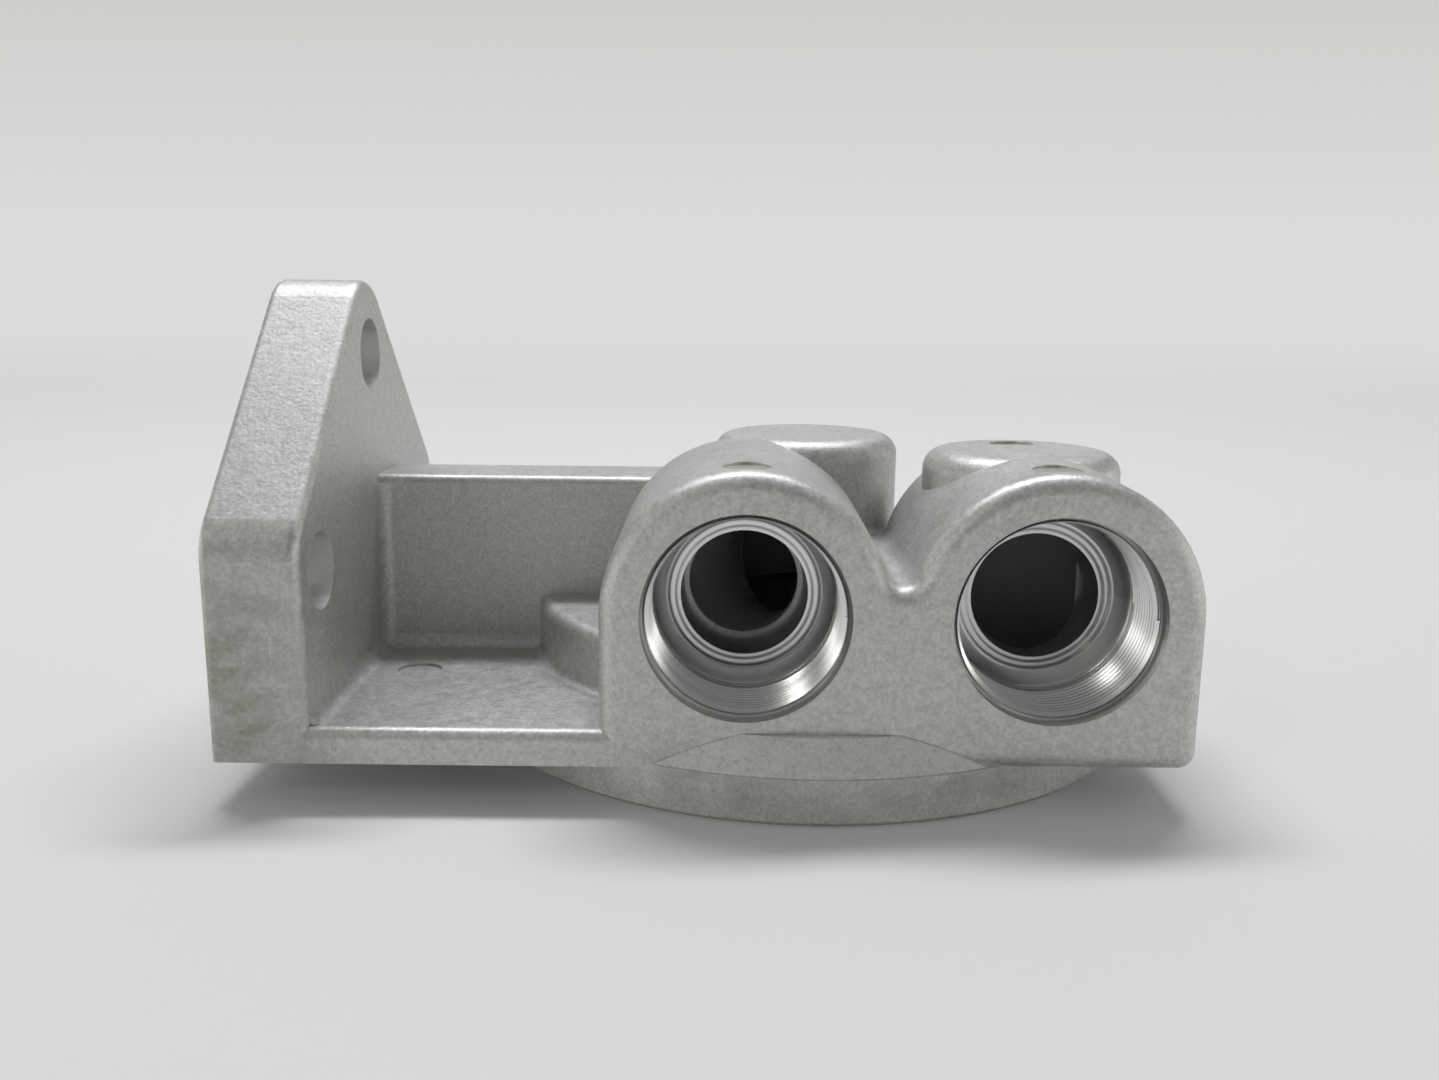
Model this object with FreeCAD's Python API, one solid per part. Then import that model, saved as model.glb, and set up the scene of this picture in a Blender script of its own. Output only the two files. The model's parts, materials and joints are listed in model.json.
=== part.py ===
"""Spin-on filter head: one aluminium casting with machined ports and filter seat.

Frame, in millimetres: Z is the filter's axis and points up, the origin is the centre of
the gasket face, the two hose ports open towards -Y and the mounting plate is at -X.
"""

import FreeCAD, Part
import math
import os

V = FreeCAD.Vector

# Filter flange: a round disc about the filter's axis, standing on its gasket face
FLANGE_R = 50.0
FLANGE_RIM_H = 6.2        # upright part of the rim
FLANGE_TOP_R = 46.2       # where the rim's sloping shoulder meets the top
FLANGE_H = 10.4           # top of the flange, level with the bracket's floor
FLANGE_EDGE_BREAK = 0.6   # chamfer round the machined gasket face

# Pot: the raised round body over the flow annulus
POT_R = 41.5
POT_H = 18.9
POT_EDGE_R = 1.6
POT_FOOT_R = 1.5

# Flow annulus in the underside, between the gasket face and the threaded hub
ANNULUS_R = 31.0
ANNULUS_H = 13.0
ANNULUS_CHAMFER = 3.0     # in both corners of its roof
HUB_R = 17.0
HUB_RECESS = 1.2          # hub's lower face above the gasket face
CORE_DRAFT = 2.0          # degrees, on both walls of the annulus

# Filter thread, 1"-12 UNF, at its minor diameter
FILTER_THREAD_R = 11.55
FILTER_THREAD_TOP = 17.0
FILTER_THREAD_CHAMFER = 1.2

# Port block: two round-topped bosses side by side, with one flat front face
FACE_Y = -45.0            # the face that both ports open in
PORT_Z = 25.3             # height of both port axes
OUTLET_X = -9.75
INLET_X = 29.6
BOSS_R = 18.6
VALLEY_R = 2.0            # round bottom of the valley between the bosses
BLOCK_BACK_Y = -5.0
BLOCK_BOTTOM_Z = 5.8      # underside of the port block, the bracket's floor and the plate
FRONT_EDGE_R = 2.3
BACK_EDGE_R = 5.5
BLOCK_CORNER_R = 2.2      # bottom corner of the block, below the inlet port

# Ports, each machined from the front face; depths are measured from that face
PORT_MOUTH_R = 13.4
PORT_MOUTH_DEPTH = 1.2
PORT_THREAD_R = 12.8      # G 3/4 thread, as the wall that its crests stand on
PORT_THREAD_DEPTH = 12.4
PORT_RELIEF_R = 12.2
PORT_CONE_R = 10.7
PORT_SEAT_DEPTH = 14.6    # flat shoulder at the bottom of the thread
PORT_BORE_R = 8.65
PORT_BORE_END_R = 8.3
PORT_BORE_DEPTH = 22.7
PASSAGE_R = 7.7           # cast passage behind each machined bore
OUTLET_ELBOW_Y = -19.0    # where the outlet's passage turns towards the filter's axis

# Vertical passages, each closed at the top by a round cap
CAP_WALL = 4.9            # metal over each vertical passage
CAP_EDGE_R = 3.0
CAP_FOOT_R = 2.0
OUTLET_CAP_R = 14.1
OUTLET_CAP_Z = 43.7
OUTLET_CHAMBER_R = 9.5
INLET_CAP_R = 13.8
INLET_CAP_Y = -17.7
INLET_CAP_Z = 43.6
INLET_CHAMBER_R = 9.0
INLET_CHAMBER_FLOOR_Z = 6.0

# Bracket: floor and web between the mounting plate and the body
PLATE_INNER_X = -65.3
PLATE_T = 12.6
PLATE_Y = -8.0            # the plate's own centre line
PLATE_SIDE_Z = 35.0       # top of the plate's upright sides
PLATE_APEX_Z = 69.5       # where the two sloping sides would meet
PLATE_TOP_R = 8.7
PLATE_SHOULDER_R = 7.0
PLATE_INNER_EDGE_R = 1.4
PLATE_OUTER_EDGE_R = 1.0
WEB_FRONT_Y = -6.6
WEB_T = 12.6
WEB_TOP_Z = 37.3
WEB_EDGE_R = 1.2
FLOOR_EDGE_R = 1.5
BRACKET_FILLET_R = 2.0

# Bolt holes in the mounting plate
BOLT_R = 5.25
BOLT_UPPER_Z = 55.6
BOLT_LOWER_Z = 29.2
BOLT_LOWER_SPACING = 56.0

# Shallow round marks that the mould's ejector pins leave
PIN_MARK_R = 3.2
PIN_MARK_DEPTH = 0.4
CROWN_MARK_Y = -38.5      # one on each boss's crown
CAP_MARK_Y = -11.5        # one on the inlet's cap
FLOOR_MARK_X = -57.0      # one on the bracket's floor
FLOOR_MARK_Y = -19.0

PLATE_HALF_W = PLATE_Y - FACE_Y
PLATE_BACK_Y = PLATE_Y + PLATE_HALF_W
BLOCK_LEFT_X = OUTLET_X - BOSS_R
BLOCK_RIGHT_X = INLET_X + BOSS_R
OVERLAP = 1.0             # how far added and cut solids run past the faces they meet


def closed_face(edges):
    """Return a planar face bounded by a chain of edges."""
    return Part.Face(Part.Wire(edges))


def polygon_face(points):
    """Return a planar face with straight sides."""
    return Part.Face(Part.makePolygon(points + points[:1]))


def turned(profile):
    """Revolve (radius, height) points about the filter's axis."""
    return polygon_face([V(r, 0, z) for r, z in profile]).revolve(V(), V(0, 0, 1), 360)


def box(x, y, z):
    """Return a box from three (low, high) ranges."""
    return Part.makeBox(x[1] - x[0], y[1] - y[0], z[1] - z[0], V(x[0], y[0], z[0]))


def upright(radius, x, y, bottom, top):
    """Return a vertical cylinder."""
    return Part.makeCylinder(radius, top - bottom, V(x, y, bottom))


def edges_where(shape, test):
    """Return the edges whose every sample point passes a test."""
    curves = [edge for edge in shape.Edges if not edge.Degenerated]
    return [edge for edge in curves if all(test(p) for p in edge.discretize(5))]


def near(a, b):
    """Tell whether two coordinates are the same, within rounding."""
    return abs(a - b) < 0.01


def corner_strip(start, run, out_a, out_b, radius):
    """Return the fillet along a straight inside corner.

    start is on the corner, run is the vector along it, and out_a and out_b are unit
    vectors from the corner along its two walls.
    """
    a, b = out_a * radius, out_b * radius
    sunk = start - out_a * OVERLAP - out_b * OVERLAP
    middle = start + a + b - (out_a + out_b) * (radius * math.sqrt(0.5))
    curve = Part.Arc(start + a, middle, start + b).toShape()
    sides = Part.makePolygon([start + b, start + b - out_a * OVERLAP, sunk,
                              start + a - out_b * OVERLAP, start + a])
    return closed_face([curve] + sides.Edges).extrude(run)


def foot_ring(x, y, z, radius, fillet):
    """Return the fillet round the foot of an upright cylinder."""
    curve = Part.Arc(V(x + radius, y, z + fillet),
                     V(x + radius + fillet * (1 - math.sqrt(0.5)), y,
                       z + fillet * (1 - math.sqrt(0.5))),
                     V(x + radius + fillet, y, z)).toShape()
    sides = Part.makePolygon([V(x + radius + fillet, y, z),
                              V(x + radius + fillet, y, z - OVERLAP),
                              V(x + radius - OVERLAP, y, z - OVERLAP),
                              V(x + radius - OVERLAP, y, z + fillet),
                              V(x + radius, y, z + fillet)])
    return closed_face([curve] + sides.Edges).revolve(V(x, y, z), V(0, 0, 1), 360)


def flange():
    """Disc with an upright rim and a sloping shoulder."""
    return turned([(0, 0), (FLANGE_R - FLANGE_EDGE_BREAK, 0), (FLANGE_R, FLANGE_EDGE_BREAK),
                   (FLANGE_R, FLANGE_RIM_H), (FLANGE_TOP_R, FLANGE_H), (0, FLANGE_H)])


def pot():
    """Round raised body with a rounded top edge and a filleted foot."""
    body = upright(POT_R, 0, 0, 0, POT_H)
    rim = edges_where(body, lambda p: near(p.z, POT_H))
    return body.makeFillet(POT_EDGE_R, rim).fuse(foot_ring(0, 0, FLANGE_H, POT_R, POT_FOOT_R))


def block_outline():
    """Front outline of the port block: two crowns joined by a tangent valley arc."""
    half_gap = (INLET_X - OUTLET_X) / 2
    middle_x = (INLET_X + OUTLET_X) / 2
    reach = BOSS_R + VALLEY_R
    valley_z = PORT_Z + math.sqrt(reach ** 2 - half_gap ** 2)
    touch_x = half_gap * VALLEY_R / reach
    touch_z = valley_z - (valley_z - PORT_Z) * VALLEY_R / reach
    left_touch = V(middle_x - touch_x, FACE_Y, touch_z)
    right_touch = V(middle_x + touch_x, FACE_Y, touch_z)
    low_left = V(BLOCK_LEFT_X, FACE_Y, BLOCK_BOTTOM_Z)
    low_right = V(BLOCK_RIGHT_X, FACE_Y, BLOCK_BOTTOM_Z)
    left_side = V(BLOCK_LEFT_X, FACE_Y, PORT_Z)
    right_side = V(BLOCK_RIGHT_X, FACE_Y, PORT_Z)
    return [
        Part.makeLine(low_left, left_side),
        Part.Arc(left_side, V(OUTLET_X, FACE_Y, PORT_Z + BOSS_R), left_touch).toShape(),
        Part.Arc(left_touch, V(middle_x, FACE_Y, valley_z - VALLEY_R), right_touch).toShape(),
        Part.Arc(right_touch, V(INLET_X, FACE_Y, PORT_Z + BOSS_R), right_side).toShape(),
        Part.makeLine(right_side, low_right),
        Part.makeLine(low_right, low_left),
    ]


def port_block():
    """Both bosses in one solid, rounded at the front and back of their crowns."""
    body = closed_face(block_outline()).extrude(V(0, BLOCK_BACK_Y - FACE_Y, 0))
    corner = edges_where(body, lambda p: near(p.x, BLOCK_RIGHT_X) and near(p.z, BLOCK_BOTTOM_Z))
    body = body.makeFillet(BLOCK_CORNER_R, corner)

    def on_crown(y):
        return edges_where(body, lambda p: near(p.y, y) and not near(p.z, BLOCK_BOTTOM_Z))

    front = [e for e in on_crown(FACE_Y) if e.CenterOfMass.z > FLANGE_H]
    body = body.makeFillet(FRONT_EDGE_R, front)
    back = [e for e in on_crown(BLOCK_BACK_Y) if e.CenterOfMass.z > FLANGE_H]
    return body.makeFillet(BACK_EDGE_R, back)


def cap(x, y, radius, top):
    """Round cap over a vertical passage, with a rounded top edge and a filleted foot."""
    body = upright(radius, x, y, FLANGE_H, top)
    rim = edges_where(body, lambda p: near(p.z, top))
    return body.makeFillet(CAP_EDGE_R, rim).fuse(foot_ring(x, y, POT_H, radius, CAP_FOOT_R))


def mounting_plate():
    """Plate with upright sides and two slopes that meet in a round top."""
    def corner(y, z):
        return V(PLATE_INNER_X, y, z)

    outline = [corner(FACE_Y, BLOCK_BOTTOM_Z), corner(FACE_Y, PLATE_SIDE_Z),
               corner(PLATE_Y, PLATE_APEX_Z), corner(PLATE_BACK_Y, PLATE_SIDE_Z),
               corner(PLATE_BACK_Y, BLOCK_BOTTOM_Z)]
    body = polygon_face(outline).extrude(V(-PLATE_T, 0, 0))
    apex = edges_where(body, lambda p: near(p.z, PLATE_APEX_Z))
    body = body.makeFillet(PLATE_TOP_R, apex)
    shoulders = edges_where(body, lambda p: near(p.z, PLATE_SIDE_Z))
    body = body.makeFillet(PLATE_SHOULDER_R, shoulders)
    for x, radius in ((PLATE_INNER_X, PLATE_INNER_EDGE_R),
                      (PLATE_INNER_X - PLATE_T, PLATE_OUTER_EDGE_R)):
        rim = edges_where(body, lambda p: near(p.x, x))
        above_foot = [e for e in rim if e.CenterOfMass.z > FLANGE_H]
        body = body.makeFillet(radius, above_foot)
    return body


def bracket_floor():
    """Flat floor from the plate to the flange, with a rounded front top edge."""
    body = box((PLATE_INNER_X - OVERLAP, 0), (FACE_Y, PLATE_BACK_Y),
               (BLOCK_BOTTOM_Z, FLANGE_H))
    top = edges_where(body, lambda p: near(p.z, FLANGE_H))
    long_edges = [e for e in top if near(e.CenterOfMass.y, FACE_Y)
                  or near(e.CenterOfMass.y, PLATE_BACK_Y)]
    return body.makeFillet(FLOOR_EDGE_R, long_edges)


def web():
    """Upright wall from the plate to the outlet's cap."""
    body = box((PLATE_INNER_X - OVERLAP, 0), (WEB_FRONT_Y, WEB_FRONT_Y + WEB_T),
               (FLANGE_H - OVERLAP, WEB_TOP_Z))
    top = edges_where(body, lambda p: near(p.z, WEB_TOP_Z))
    long_edges = [e for e in top if not near(e.CenterOfMass.y, WEB_FRONT_Y + WEB_T / 2)]
    return body.makeFillet(WEB_EDGE_R, long_edges)


def bracket_fillets():
    """Fillets in the inside corners of the bracket, in front of the web and behind it."""
    east, up = V(1, 0, 0), V(0, 0, 1)
    web_back = WEB_FRONT_Y + WEB_T
    strips = []
    for wall_y, out, far_y in ((WEB_FRONT_Y, V(0, -1, 0), FACE_Y),
                               (web_back, V(0, 1, 0), PLATE_BACK_Y)):
        foot = V(PLATE_INNER_X, wall_y, FLANGE_H)
        along_floor = V(0, far_y - wall_y, 0) - out * FLOOR_EDGE_R
        strips.append(corner_strip(foot, V(-PLATE_INNER_X, 0, 0), out, up, BRACKET_FILLET_R))
        strips.append(corner_strip(foot, along_floor, east, up, BRACKET_FILLET_R))
        strips.append(corner_strip(foot, up * (WEB_TOP_Z - WEB_EDGE_R - FLANGE_H), east, out,
                                   BRACKET_FILLET_R))
    return strips


def annulus():
    """Ring-shaped cavity of the underside, with the recess under the hub's face."""
    lean = math.tan(math.radians(CORE_DRAFT)) * ANNULUS_H
    face = polygon_face([V(HUB_R, 0, 0), V(ANNULUS_R, 0, 0), V(ANNULUS_R - lean, 0, ANNULUS_H),
                         V(HUB_R + lean, 0, ANNULUS_H)])
    ring = face.revolve(V(), V(0, 0, 1), 360)
    roof = edges_where(ring, lambda p: near(p.z, ANNULUS_H))
    ring = ring.makeChamfer(ANNULUS_CHAMFER, roof)
    return ring.fuse(upright(HUB_R + HUB_RECESS, 0, 0, -OVERLAP, HUB_RECESS))


def filter_passage():
    """Threaded hole for the filter's stud and the vertical passage over it."""
    mouth = FILTER_THREAD_R + FILTER_THREAD_CHAMFER
    step = FILTER_THREAD_R - OUTLET_CHAMBER_R
    return turned([(0, 0), (mouth, 0), (mouth, HUB_RECESS),
                   (FILTER_THREAD_R, HUB_RECESS + FILTER_THREAD_CHAMFER),
                   (FILTER_THREAD_R, FILTER_THREAD_TOP),
                   (OUTLET_CHAMBER_R, FILTER_THREAD_TOP + step),
                   (OUTLET_CHAMBER_R, OUTLET_CAP_Z - CAP_WALL), (0, OUTLET_CAP_Z - CAP_WALL)])


def port(x):
    """Stepped bore of one port: mouth, thread, cone, seat and bore, then the cast passage."""
    steps = [(0, -OVERLAP), (PORT_MOUTH_R, -OVERLAP), (PORT_MOUTH_R, 0),
             (PORT_THREAD_R, PORT_MOUTH_DEPTH), (PORT_THREAD_R, PORT_THREAD_DEPTH),
             (PORT_RELIEF_R, PORT_THREAD_DEPTH), (PORT_CONE_R, PORT_SEAT_DEPTH),
             (PORT_BORE_R, PORT_SEAT_DEPTH), (PORT_BORE_END_R, PORT_BORE_DEPTH),
             (PASSAGE_R, PORT_BORE_DEPTH), (PASSAGE_R, OUTLET_ELBOW_Y - FACE_Y),
             (0, OUTLET_ELBOW_Y - FACE_Y)]
    face = polygon_face([V(x + r, FACE_Y + depth, PORT_Z) for r, depth in steps])
    return face.revolve(V(x, 0, PORT_Z), V(0, 1, 0), 360)


def outlet_elbow():
    """Cast passage from the outlet port's bore to the vertical passage over the filter."""
    bend = V(OUTLET_X, OUTLET_ELBOW_Y, PORT_Z)
    run = V(0, 0, PORT_Z) - bend
    return [Part.makeSphere(PASSAGE_R, bend),
            Part.makeCylinder(PASSAGE_R, run.Length, bend, run)]


def inlet_chamber():
    """Vertical passage behind the inlet port, open to the annulus at its foot."""
    return upright(INLET_CHAMBER_R, INLET_X, INLET_CAP_Y, INLET_CHAMBER_FLOOR_Z,
                   INLET_CAP_Z - CAP_WALL)


def bolt_holes():
    """Three holes through the mounting plate."""
    places = [(PLATE_Y, BOLT_UPPER_Z), (PLATE_Y - BOLT_LOWER_SPACING / 2, BOLT_LOWER_Z),
              (PLATE_Y + BOLT_LOWER_SPACING / 2, BOLT_LOWER_Z)]
    return [Part.makeCylinder(BOLT_R, PLATE_T + 2 * OVERLAP,
                              V(PLATE_INNER_X + OVERLAP, y, z), V(-1, 0, 0))
            for y, z in places]


def pin_marks():
    """Ejector-pin marks on both crowns, the inlet's cap and the bracket's floor."""
    crown = PORT_Z + BOSS_R
    places = [(OUTLET_X, CROWN_MARK_Y, crown), (INLET_X, CROWN_MARK_Y, crown),
              (INLET_X, CAP_MARK_Y, INLET_CAP_Z), (FLOOR_MARK_X, FLOOR_MARK_Y, FLANGE_H)]
    return [upright(PIN_MARK_R, x, y, top - PIN_MARK_DEPTH, top + OVERLAP)
            for x, y, top in places]


def filter_head():
    """Fuse the casting's forms, then cut every cored and machined opening."""
    casting = flange().multiFuse([
        pot(), port_block(), bracket_floor(), web(), mounting_plate(),
        cap(0, 0, OUTLET_CAP_R, OUTLET_CAP_Z),
        cap(INLET_X, INLET_CAP_Y, INLET_CAP_R, INLET_CAP_Z),
    ] + bracket_fillets())
    hollows = [annulus(), filter_passage(), port(OUTLET_X), port(INLET_X), inlet_chamber()]
    cut = casting.cut(hollows + outlet_elbow() + bolt_holes() + pin_marks())
    return cut.removeSplitter()


def main():
    os.makedirs("parts", exist_ok=True)
    head = filter_head()
    solid = head.Solids[0]
    print("solids", len(head.Solids), "valid", solid.isValid(), "faces", len(solid.Faces))
    solid.exportStep("parts/filter_head.step")


main()
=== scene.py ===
"""Looks of a cast aluminium spin-on filter head.

The casting keeps its CAD shape and gets a shot-blasted skin with bright machined ports,
filter seat and bolt holes. Thread ridges are pieces of their own. A pale sweep, a long
overhead lamp and a camera at a low front view make the scene. Lengths are in metres.
"""

import json
import logging
import math
from dataclasses import dataclass, field
from enum import Enum
from functools import reduce
from typing import Any, Dict, Iterable, List, Optional, Tuple, Union

import bpy
from mathutils import Euler, Matrix, Vector


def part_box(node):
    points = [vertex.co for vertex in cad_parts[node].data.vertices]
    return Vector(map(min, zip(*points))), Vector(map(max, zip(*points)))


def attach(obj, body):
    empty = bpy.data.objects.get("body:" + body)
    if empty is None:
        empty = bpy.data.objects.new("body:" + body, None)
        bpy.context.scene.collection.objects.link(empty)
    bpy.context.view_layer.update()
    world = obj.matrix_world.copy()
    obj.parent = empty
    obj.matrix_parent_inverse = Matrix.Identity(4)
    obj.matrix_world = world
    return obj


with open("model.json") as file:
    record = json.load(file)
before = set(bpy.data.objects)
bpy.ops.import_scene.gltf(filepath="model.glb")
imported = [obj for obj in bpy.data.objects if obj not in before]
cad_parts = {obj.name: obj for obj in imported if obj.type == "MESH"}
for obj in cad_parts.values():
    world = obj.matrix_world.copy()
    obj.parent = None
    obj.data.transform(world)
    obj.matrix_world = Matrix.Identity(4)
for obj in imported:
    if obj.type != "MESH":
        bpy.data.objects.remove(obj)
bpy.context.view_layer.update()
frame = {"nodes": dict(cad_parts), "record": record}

LOG = logging.getLogger("filter_head")
MM = 0.001
CASTING_NODE = "filter_head"
BODY = "root"
MASK_EDGE = 0.02 * MM        # softness of a machined face's outline

Colour = Tuple[float, float, float, float]
Triple = Tuple[float, float, float]
Operand = Union["Value", float]


class Axis(Enum):
    """A coordinate axis, by its place in a vector."""

    X = 0
    Y = 1
    Z = 2


class Value:
    """A number on a shader socket that takes part in Python arithmetic."""

    def __init__(self, wiring: "Wiring", socket: bpy.types.NodeSocket) -> None:
        """Wrap one output socket.

        Args:
            wiring: The node tree builder that owns the socket.
            socket: The output socket that carries the number.
        """
        self.wiring = wiring
        self.socket = socket

    def math(self, operation: str, *others: Operand) -> "Value":
        """Add a Math node whose first value is this one.

        Args:
            operation: The Math node's operation.
            others: Its second and third values.

        Returns:
            The node's result.
        """
        return self.wiring.math(operation, self, *others)

    def __add__(self, other: Operand) -> "Value":
        """Add."""
        return self.math("ADD", other)

    __radd__ = __add__

    def __sub__(self, other: Operand) -> "Value":
        """Subtract."""
        return self.math("SUBTRACT", other)

    def __rsub__(self, other: Operand) -> "Value":
        """Subtract this from a number."""
        return self.wiring.math("SUBTRACT", other, self)

    def __mul__(self, other: Operand) -> "Value":
        """Multiply."""
        return self.math("MULTIPLY", other)

    def __truediv__(self, other: Operand) -> "Value":
        """Divide."""
        return self.math("DIVIDE", other)

    def __abs__(self) -> "Value":
        """Drop the sign."""
        return self.math("ABSOLUTE")

    def __pow__(self, other: Operand) -> "Value":
        """Raise to a power."""
        return self.math("POWER", other)

    def clamped(self) -> "Value":
        """Limit to the range 0 to 1."""
        return self.math("MAXIMUM", 0.0).math("MINIMUM", 1.0)

    def below(self, limit: float, softness: float) -> "Value":
        """Return 1 well below a limit and 0 above it, with a soft step between."""
        return ((limit - self) / softness).clamped()

    def above(self, limit: float, softness: float) -> "Value":
        """Return 1 well above a limit and 0 below it, with a soft step between."""
        return ((self - limit) / softness).clamped()

    def either(self, other: "Value") -> "Value":
        """Return the larger of two masks."""
        return self.math("MAXIMUM", other)


@dataclass(frozen=True)
class Grain:
    """Fractal noise of one coarseness.

    Attributes:
        scale: Its cells in one metre, or in one unit of a stretched place.
        detail: How many finer layers it has.
        roughness: How strong the finer layers are.
    """

    scale: float
    detail: float
    roughness: float = 0.5


class Wiring:
    """The node tree of one material or of the world, with one method that makes nodes."""

    def __init__(self, tree: bpy.types.NodeTree) -> None:
        """Start from an empty tree."""
        self.tree = tree
        tree.nodes.clear()

    def node(self, kind: str, settings: Optional[Dict[str, Any]] = None,
             inputs: Optional[Dict[Union[str, int], Any]] = None) -> bpy.types.Node:
        """Make a node, set it up, then give its sockets values or links.

        Args:
            kind: The node's type name.
            settings: Attributes such as an operation.
            inputs: Values, sockets or Value objects, by the input's name or number.

        Returns:
            The new node.
        """
        made = self.tree.nodes.new(kind)
        for name, setting in (settings or {}).items():
            setattr(made, name, setting)
        for name, given in (inputs or {}).items():
            if isinstance(given, Value):
                self.tree.links.new(given.socket, made.inputs[name])
            elif isinstance(given, bpy.types.NodeSocket):
                self.tree.links.new(given, made.inputs[name])
            else:
                made.inputs[name].default_value = given
        return made

    def math(self, operation: str, *values: Operand) -> Value:
        """Add a Math node.

        Args:
            operation: The node's operation.
            values: Its inputs in order.

        Returns:
            Its result.
        """
        made = self.node("ShaderNodeMath", {"operation": operation}, dict(enumerate(values)))
        return Value(self, made.outputs[0])

    def mix(self, factor: Operand, low: Any, high: Any) -> bpy.types.NodeSocket:
        """Blend two colours by a factor.

        Args:
            factor: 0 gives the first colour and 1 the second.
            low: First colour or colour socket.
            high: Second colour or colour socket.

        Returns:
            The blended colour's socket.
        """
        made = self.node("ShaderNodeMix", {"data_type": "RGBA"}, {0: factor, 6: low, 7: high})
        return made.outputs[2]

    def noise(self, place: bpy.types.NodeSocket, grain: Grain) -> Value:
        """Add a Noise Texture.

        Args:
            place: Where the noise is read.
            grain: How coarse it is.

        Returns:
            Its value from 0 to 1.
        """
        made = self.node("ShaderNodeTexNoise", None, {
            "Vector": place, "Scale": grain.scale, "Detail": grain.detail,
            "Roughness": grain.roughness})
        return Value(self, made.outputs[0])

    def stretched(self, place: bpy.types.NodeSocket, scale: Triple) -> bpy.types.NodeSocket:
        """Scale a place along each axis with a Mapping node.

        Args:
            place: The place to scale.
            scale: The factor on each axis.

        Returns:
            The scaled place's socket.
        """
        made = self.node("ShaderNodeMapping", None, {"Vector": place, "Scale": scale})
        return made.outputs[0]

    def split(self, place: bpy.types.NodeSocket) -> List[Value]:
        """Return the three coordinates of a place."""
        parts = self.node("ShaderNodeSeparateXYZ", None, {0: place})
        return [Value(self, socket) for socket in parts.outputs]


@dataclass(frozen=True)
class Bore:
    """A round machined hole or face along one axis.

    Attributes:
        axis: The hole's direction.
        across: Its centre in the other two coordinates, in order.
        radius: Its reach from the axis.
        start: Its lower end along the axis.
        end: Its upper end along the axis.
    """

    axis: Axis
    across: Tuple[float, float]
    radius: float
    start: float
    end: float

    def distance(self, at: List[Value]) -> Value:
        """Measure how far a shading point is from the hole's axis.

        Args:
            at: The point's three coordinates.

        Returns:
            The distance.
        """
        others = [at[i] for i in range(3) if i != self.axis.value]
        first = others[0] - self.across[0]
        second = others[1] - self.across[1]
        return (first * first + second * second) ** 0.5

    def mask(self, at: List[Value], edge: float = MASK_EDGE) -> Value:
        """Tell the hole's inside from its outside.

        Args:
            at: The shading point's three coordinates.
            edge: Width of the step between them.

        Returns:
            1 inside the hole and 0 outside.
        """
        along = at[self.axis.value]
        inside = self.distance(at).below(self.radius, edge)
        return inside * along.above(self.start, edge) * along.below(self.end, edge)


@dataclass(frozen=True)
class Patch:
    """A soft box-shaped area of the skin, for a mark that lies in one place.

    Attributes:
        centre: Its middle.
        reach: How far it goes from the middle along each axis.
        softness: Width of its fading edge, inside the reach.
    """

    centre: Triple
    reach: Triple
    softness: float

    def mask(self, at: List[Value]) -> Value:
        """Tell the area from the rest of the skin.

        Args:
            at: The shading point's three coordinates.

        Returns:
            1 well inside the area and 0 outside.
        """
        parts = [abs(value - middle).below(reach, self.softness)
                 for value, middle, reach in zip(at, self.centre, self.reach)]
        return parts[0] * parts[1] * parts[2]


@dataclass(frozen=True)
class CastSkin:
    """Shot-blasted skin of the casting.

    Attributes:
        light: Colour of the skin's high points.
        dark: Colour of its low points.
        painted_shade: Colour of the painted shade on the flange's rim, the plate's front edge
            and in the ejector-pin marks.
        painted_highlight: Colour of the painted highlight on the flange's shoulder.
        cored: Colour inside the cast passages, partly their duller as-cast surface and partly
            painted shade of the deep passages.
        metallic: Share of bare metal in the skin.
        roughness: Its mean roughness.
        cored_roughness: What the cast passages add to the roughness.
        grain: The fine blasted grain.
        speck: Coarser specks.
        cloud: Broad clouds.
        tone: Mean place between dark and light.
        grain_tone: How far the grain moves the tone.
        speck_tone: How far the specks move the tone.
        cloud_tone: How far the clouds move the tone.
        cloud_roughness: How far the clouds move the roughness.
        speck_roughness: How far the specks move the roughness.
        grain_height: Height of the grain.
        speck_height: Height of the specks.
    """

    light: Colour = (0.675, 0.67, 0.66, 1.0)
    dark: Colour = (0.40, 0.405, 0.39, 1.0)
    painted_shade: Colour = (0.24, 0.26, 0.20, 1.0)
    painted_highlight: Colour = (0.86, 0.88, 0.82, 1.0)
    cored: Colour = (0.30, 0.30, 0.31, 1.0)
    metallic: float = 0.75
    roughness: float = 0.5
    cored_roughness: float = 0.3
    grain: Grain = Grain(2100.0, 2.0, 0.6)
    speck: Grain = Grain(735.0, 3.0, 0.55)
    cloud: Grain = Grain(75.0, 4.0, 0.62)
    tone: float = 0.6
    grain_tone: float = 1.5
    speck_tone: float = 0.85
    cloud_tone: float = 0.5
    cloud_roughness: float = 0.25
    speck_roughness: float = 0.2
    grain_height: float = 0.039 * MM
    speck_height: float = 0.0585 * MM


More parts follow.
